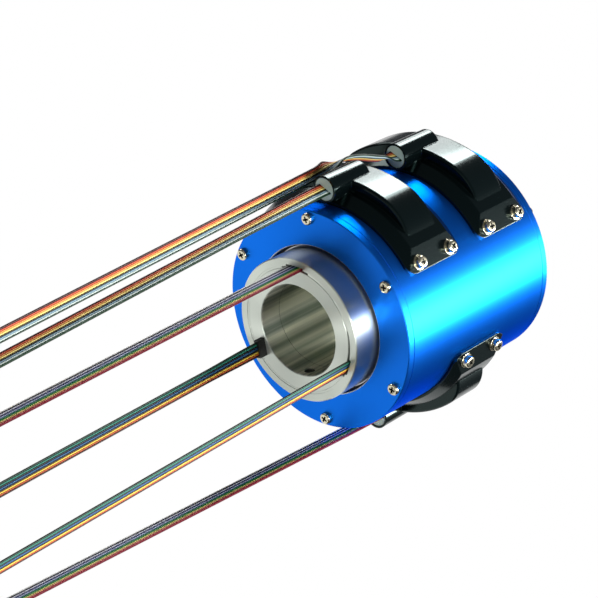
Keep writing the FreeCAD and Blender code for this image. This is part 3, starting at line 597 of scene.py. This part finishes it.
# %% Hood plastic
edge_radius = 0.0007
grains_per_mm = 0.9
hood_plastic = finish_named("hood_plastic", "04090a", 0.0, 0.17, {
    "Specular IOR Level": 0.35, "Specular Tint": colour("c4f0ea")})
grain = add_node(hood_plastic, "TexNoise", {
    "Vector": add_node(hood_plastic, "TexCoord").outputs["Object"], "Scale": grains_per_mm * 1000})
soft_edge = add_node(hood_plastic, "Bevel", {"Radius": edge_radius}, samples=6)
bump = add_node(hood_plastic, "Bump", {
    "Height": grain.outputs["Fac"], "Normal": soft_edge.outputs["Normal"],
    "Strength": 0.05, "Distance": 0.00005})
set_shader(hood_plastic, {"Normal": bump.outputs["Normal"]})
dress(hood_plastic, ["front_hood", "lower_hood", "rear_hood"])

# %% [markdown]
# ## Plain finishes
# The small parts and the mechanism inside need no pattern at the size at which they show, so one
# colour, metallic and roughness each will do. Plated and polished metals are smooth and mirror the
# room, steel in black oxide and rubber spread the light, and plastics lie between. The names of the
# CAD nodes end with the kind of part, so an ending picks out all the nodes of a kind.

# %% Metals
nickel = finish_named("nickel_plate", "dcd6bc", 1.0, 0.2)
bearing_steel = finish_named("bearing_steel", "b8babd", 1.0, 0.2)
cage_brass = finish_named("cage_brass", "c29a4b", 1.0, 0.3)
black_oxide = finish_named("black_oxide", "17181a", 0.6, 0.4)
ring_silver = finish_named("ring_silver", "d8c796", 1.0, 0.2)
brush_bronze = finish_named("brush_bronze", "c79a58", 1.0, 0.3)

# %% [markdown]
# The rest is painted, moulded or insulated. The sleeve in a tunnel's mouth is clear tubing that
# looks pale, and the resin carrier of the contact rings has a red-brown colour.

# %% Plastics and rubber
shield_black = finish_named("shield_black", "0c0d0f", 0.0, 0.6)
insulator = finish_named("insulator", "6a2c1a", 0.0, 0.5)
block_plastic = finish_named("block_plastic", "1a1a1c", 0.0, 0.5)
sleeve_clear = finish_named("sleeve_clear", "bfd4ca", 0.0, 0.35)
boot_rubber = finish_named("boot_rubber", "141515", 0.0, 0.45)
wire_bundle = finish_named("wire_bundle", "8a6a48", 0.0, 0.5)

plain_finishes = {
    "screws": nickel, "washers": nickel, "bearing_inner": bearing_steel, "bearing_outer": bearing_steel,
    "ball_cage": cage_brass, "dust_shield": shield_black, "exit_sleeve": sleeve_clear,
    "brush_block": block_plastic, "brushes": brush_bronze, "slip_rings": ring_silver,
    "ring_carrier": insulator, "ring_wires": wire_bundle, "lead_boot": boot_rubber,
}
for ending, material in plain_finishes.items():
    dress(material, [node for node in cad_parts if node.endswith(ending)])
dress(black_oxide, ["collar_screws", "set_screws"])

# %% [markdown]
# ## Screws and washers
# The CAD model has plain screw heads. Here one pan head gets its rounded rim and cross recess, and
# one lock washer its split. Each is modelled once, facing up, and then copied to every hole.
# The recess and the split are cut with booleans, because they cross the mesh of the disc.

# %% Tools for small turned parts
def cut_away(piece, cutter):
    """Takes the cutter's shape out of the piece and deletes the cutter."""
    cut = piece.modifiers.new("cut", "BOOLEAN")
    cut.object = cutter
    cut.operation = "DIFFERENCE"
    cut.solver = "EXACT"
    bpy.context.view_layer.objects.active = piece
    bpy.ops.object.modifier_apply(modifier=cut.name)
    bpy.data.objects.remove(cutter)


def round_top(piece, offset):
    """Rounds the rim of an upright cylinder's top, which is its only face that points up."""
    bpy.ops.object.mode_set(mode="EDIT")
    bpy.ops.mesh.select_all(action="DESELECT")
    bpy.ops.mesh.select_mode(type="FACE")
    bpy.ops.object.mode_set(mode="OBJECT")
    for polygon in piece.data.polygons:
        polygon.select = polygon.normal.z > 0.9
    bpy.ops.object.mode_set(mode="EDIT")
    bpy.ops.mesh.bevel(offset=offset, segments=4, affect="EDGES")
    bpy.ops.object.mode_set(mode="OBJECT")


def disc(radius, bottom, height, rim=0):
    """An upright cylinder on the Z axis. rim is the width of its upper edge's rounding."""
    bpy.ops.mesh.primitive_cylinder_add(vertices=36, radius=radius, depth=height,
                                        location=(0, 0, bottom + height / 2))
    piece = bpy.context.object
    bpy.ops.object.transform_apply()
    if rim:
        round_top(piece, rim)
    return piece


def blade(length, width, height, middle, turn):
    """A plain bar, used as a cutter."""
    bpy.ops.mesh.primitive_cube_add(size=1, location=middle, rotation=turn, scale=(length, width, height))
    return bpy.context.object


# %% [markdown]
# ## The pan head
# Two crossed blades cut the recess, whose walls and floor are then given a black finish as painted
# shade, since in so small a hole shade is all that the eye sees of it. The head's underside is at
# z = 0, and the shank goes down from there.

# %% Master screw
head_radius = 0.0033
head_height = 0.0022
head_rim = 0.001
recess_length = 0.0037
recess_width = 0.0011
recess_depth = 0.0013
shank_radius = 0.0017
shank_length = 0.0112
tiny = 0.00001
# The recess takes a black finish as painted shade.
recess_painted_shade = finish_named("recess_painted_shade", "0c0c0a", 0.0, 0.6)

master_screw = disc(head_radius, 0, head_height, head_rim)
for quarter in (0, math.pi / 2):
    recess = blade(recess_length, recess_width, 2 * recess_depth, (0, 0, head_height), (0, 0, quarter))
    cut_away(master_screw, recess)
master_screw.data.materials.append(nickel)
master_screw.data.materials.append(recess_painted_shade)
# Faces inside the recess get the painted shade.
for polygon in master_screw.data.polygons:
    middle = polygon.center
    near_axis = math.hypot(middle.x, middle.y) < recess_length / 2 + tiny
    if near_axis and tiny < middle.z < head_height - tiny:
        polygon.material_index = 1
shank = disc(shank_radius, -shank_length, shank_length)
shank.select_set(True)
master_screw.select_set(True)
bpy.context.view_layer.objects.active = master_screw
bpy.ops.object.join()
print("faces of one screw:", len(master_screw.data.polygons))

# %% [markdown]
# ## The washers
# A hood's screw holds a flat washer and, on top of it, a lock washer with a slanted split. Both lie
# below z = 0, so that they fit under a head without being moved.

# %% Master washers
washer_radius = 0.0041
washer_thickness = 0.0008
lock_washer_radius = 0.0033
lock_washer_thickness = 0.0009
washer_hole = 0.0018
split_length = 0.004
split_width = 0.0005
split_slant = 0.5
split_middle = (0.0028, 0, -0.0005)
head_lift = washer_thickness + lock_washer_thickness
cut_height = 0.004
cut_overrun = 0.001


def washer(radius, bottom, thickness, rim):
    """A disc with a rounded upper edge and a hole for the screw."""
    piece = disc(radius, bottom, thickness, rim)
    cut_away(piece, disc(washer_hole, -head_lift - cut_overrun, cut_height))
    piece.data.materials.append(nickel)
    return piece


flat_washer = washer(washer_radius, -head_lift, washer_thickness, 0.00015)
lock_washer = washer(lock_washer_radius, -lock_washer_thickness, lock_washer_thickness, 0.00012)
split = blade(split_length, split_width, cut_height, split_middle, (split_slant, 0, 0))
cut_away(lock_washer, split)
print("faces of one lock washer:", len(lock_washer.data.polygons))

# %% [markdown]
# ## Where the screws go
# Six hold each cover and four hold each hood. A hood's screws stand square to its two flat pads,
# on their washers. In each group no two recesses point the same way, as nobody lines them up.

# %% Places of the screws
housing_length = 0.1225
cover_circle = 0.057
cover_screw_count = 6
cover_screw_start = -6.8
pad_plane = 0.061857
pad_screw_x = -0.018568
pad_screw_half_pitch = 0.0127
pad_turn = 73.8


def pad_places(angle, y):
    """The four places of a hood's screw heads, on their washers, each turned its own way."""
    places = []
    for side in (1, -1):
        turn = Matrix.Rotation(math.radians(angle + side * pad_turn), 4, "Y")
        for step in (-pad_screw_half_pitch, pad_screw_half_pitch):
            spot = Matrix.Translation((side * pad_screw_x, 0, pad_plane + head_lift))
            spin = Matrix.Rotation(0.7 + 1.9 * side + 90 * step, 4, "Z")
            places.append(Matrix.Translation((0, y + step, 0)) @ turn @ spot @ spin)
    return places


def cover_places(y, facing):
    """The six places of a cover's screw heads. facing is -1 for the front and 1 for the rear."""
    places = []
    for i in range(cover_screw_count):
        angle = cover_screw_start + i * 360 / cover_screw_count
        turn = Matrix.Rotation(-facing * math.pi / 2, 4, "X")
        spin = Matrix.Rotation(0.4 + 1.3 * i, 4, "Z")
        spot = Matrix.Translation(around_shaft(cover_circle, angle, y))
        places.append(spot @ turn @ spin)
    return places


# %% [markdown]
# ## Screws in their holes
# Each group of heads or washers is one piece, as in the CAD model, so its copies are joined and
# take the place of the CAD node. The place of each copy goes into its mesh before the join.

# %% Screws in their holes
def put_copies(masters, places, name, node):
    """Copies the masters to every place, joins them and lets them replace a CAD node."""
    bpy.ops.object.select_all(action="DESELECT")
    for place in places:
        for master in masters:
            copy = master.copy()
            copy.data = master.data.copy()
            bpy.context.scene.collection.objects.link(copy)
            copy.matrix_world = place
            copy.select_set(True)
            bpy.context.view_layer.objects.active = copy
    bpy.ops.object.transform_apply()
    bpy.ops.object.join()
    piece = bpy.context.object
    piece.name = name
    bpy.ops.object.shade_smooth_by_angle(angle=smooth_below)
    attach(piece, "housing")
    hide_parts(node)
    print(name, "faces:", len(piece.data.polygons))


put_copies([master_screw], cover_places(0, -1), "front_cover_pan_heads", "front_cover_screws")
put_copies([master_screw], cover_places(housing_length, 1), "rear_cover_pan_heads", "rear_cover_screws")
for hood, (angle, y) in hoods.items():
    places = pad_places(angle, y)
    put_copies([master_screw], places, hood + "_pan_heads", hood + "_hood_screws")
    put_copies([flat_washer, lock_washer], places, hood + "_washer_pairs", hood + "_hood_washers")
for master in (master_screw, flat_washer, lock_washer):
    bpy.data.objects.remove(master)

# %% [markdown]
# ## Wire colours
# The insulation is vinyl, dyed through and a little soft in its shine. A ramp with hard steps reads
# the UV map's count across the ribbon, so one material holds all the colours of a ribbon. The
# count's fraction runs from groove to groove of one wire, and darkens both as painted shade, for
# the shade in the grooves is too fine for the light to draw.

# %% Ribbon materials
hood_wires = ["36100f", "b4482e", "cf8c48", "efd67c", "26240f", "7592a2", "c3d2cc", "15381f"]
top_wires = [
    "f2f2ee", "12122a", "e6e8f4", "1b2266", "bcc8ea",
    "1c6c66", "2f9a3c", "f4ea88", "ee8872", "86102a",
]
side_wires = ["0f2f20", "1f7260", "0a0e14", "235480", "0c0c14", "e0bc40", "a8491f", "2c0c08"]
groove_painted_shade = "3c3c3c"


def ribbon_finish(name, wires):
    """Vinyl with one colour for each wire, and painted shade in the groove between them."""
    vinyl = finish_named(name, "808080", 0.0, 0.5, {"Specular IOR Level": 0.3})
    uv = add_node(vinyl, "UVMap", uv_map="across_and_along").outputs[0]
    across = add_node(vinyl, "SeparateXYZ", {0: uv}).outputs["X"]
    bands = add_node(vinyl, "ValToRGB", {"Fac": across})
    bands.color_ramp.interpolation = "CONSTANT"
    set_ramp(bands, [(i / len(wires), wire) for i, wire in enumerate(wires)])
    count = add_node(vinyl, "Math", {0: across, 1: len(wires)}, operation="MULTIPLY")
    fraction = add_node(vinyl, "Math", {0: count.outputs[0]}, operation="FRACT")
    # Painted shade darkens the grooves between the wires.
    groove = add_node(vinyl, "ValToRGB", {"Fac": fraction.outputs[0]})
    set_ramp(groove, [(0.0, groove_painted_shade), (0.2, "ffffff"), (0.8, "ffffff"), (1.0, groove_painted_shade)])
    shade = add_node(vinyl, "Mix", {
        factor: 1.0, first_colour: bands.outputs["Color"], second_colour: groove.outputs["Color"],
    }, data_type="RGBA", blend_type="MULTIPLY")
    set_shader(vinyl, {"Base Color": shade.outputs[mixed_colour]})
    return vinyl


ribbon_colours = {
    "front_ribbon": hood_wires, "rear_ribbon": hood_wires, "lower_ribbon": top_wires[::-1],
    "rotor_ribbon_top": top_wires, "rotor_ribbon_side": side_wires, "rotor_ribbon_boot": side_wires,
}
for node, piece in ribbons.items():
    piece.data.materials.append(ribbon_finish(node + "_colours", ribbon_colours[node]))
    print(node, "colours:", len(ribbon_colours[node]))

# %% [markdown]
# ## The floor
# The photograph has a white ground that runs out of sight. More light on a white floor would wash
# out the object too, so the floor is an ordinary pale grey for the light, and plain white for rays
# that come from the camera, a reflection or something clear. The Light Path node tells them apart.

# %% Floor
floor_height = -0.35
bpy.ops.mesh.primitive_circle_add(vertices=64, radius=4, fill_type="NGON",
                                  location=(0, 0, floor_height))
floor = bpy.context.object
floor.name = "floor"
floor_white = finish_named("floor_white", "e8e8e8", 0.0, 0.8)
rays = add_node(floor_white, "LightPath").outputs
bounced = add_node(floor_white, "Math", {
    0: rays["Is Glossy Ray"], 1: rays["Is Transmission Ray"]}, operation="MAXIMUM")
seen = add_node(floor_white, "Math", {
    0: rays["Is Camera Ray"], 1: bounced.outputs[0]}, operation="MAXIMUM")
lit = floor_white.node_tree.nodes["Principled BSDF"].outputs[0]
white = add_node(floor_white, "Emission").outputs[0]
ground = add_node(floor_white, "MixShader", {0: seen.outputs[0], 1: lit, 2: white})
output = floor_white.node_tree.nodes["Material Output"]
set_inputs(floor_white, output, {"Surface": ground.outputs[0]})
floor.data.materials.append(floor_white)
print("floor at", floor_height)

# %% [markdown]
# ## A black flag
# Photographers put black card beside shiny things, so that the metal has something dark to show
# between the lights. This one lies just over the floor and reaches from beside the housing far to
# the right. The camera itself doesn't see it.

# %% Black flag
flag_height = floor_height + 0.01
bpy.ops.mesh.primitive_plane_add(size=1, location=(0.58, 0, flag_height))
flag = bpy.context.object
flag.name = "black_flag"
flag.scale = (1.0, 1.8, 1)
bpy.ops.object.transform_apply()
flag_black = finish_named("flag_black", "141416", 0.0, 0.9)
flag.data.materials.append(flag_black)
flag.visible_camera = False
print("flag at", round(flag_height, 3))

# %% [markdown]
# ## The lamps
# The light is that of a studio packshot, all from rectangular soft boxes that face the object. Two
# stand behind it, above, and draw the bands on the arches. Two at the right are mirrored in the
# barrel's flank and the collars' walls, and one low at the right front gives glints on screws and
# folds. A large weak one in front and one at the left keep the shadows open, with a dim grey world.

# %% Lamps
light_target = Vector((0, 0.05, 0.03))


def soft_box(name, toward, distance, width, height, power):
    """An area lamp that faces the object from a direction, in metres and watts."""
    direction = Vector(toward).normalized()
    data = bpy.data.lights.new(name, "AREA")
    data.shape = "RECTANGLE"
    data.size = width
    data.size_y = height
    data.energy = power
    lamp = bpy.data.objects.new(name, data)
    bpy.context.scene.collection.objects.link(lamp)
    lamp.location = light_target + direction * distance
    lamp.rotation_mode = "QUATERNION"
    lamp.rotation_quaternion = direction.to_track_quat("Z", "Y")
    print(name, "power:", power)


soft_box("box_behind", (-0.33, 0.68, 0.66), 1.2, 0.5, 0.22, 9)
soft_box("box_behind_low", (-0.54, 0.68, 0.49), 1.2, 0.5, 0.3, 3)
soft_box("box_right", (0.72, 0.68, -0.15), 1.3, 0.5, 0.34, 32)
soft_box("box_side", (0.99, 0.07, 0.07), 1.2, 0.3, 0.36, 17)
soft_box("box_glint", (0.735, -0.67, 0.05), 1.2, 0.3, 0.16, 4)
soft_box("box_front", (0.2, -1.0, 0.5), 1.6, 1.2, 0.9, 1.2)
soft_box("box_left", (-0.8, 0.1, 0.6), 1.6, 0.6, 0.6, 5)

world = bpy.data.worlds.new("studio")
bpy.context.scene.world = world
world.use_nodes = True
background = world.node_tree.nodes["Background"]
background.inputs["Color"].default_value = colour("b8bcc4")
background.inputs["Strength"].default_value = 0.2
bpy.context.scene.view_settings.view_transform = "Standard"
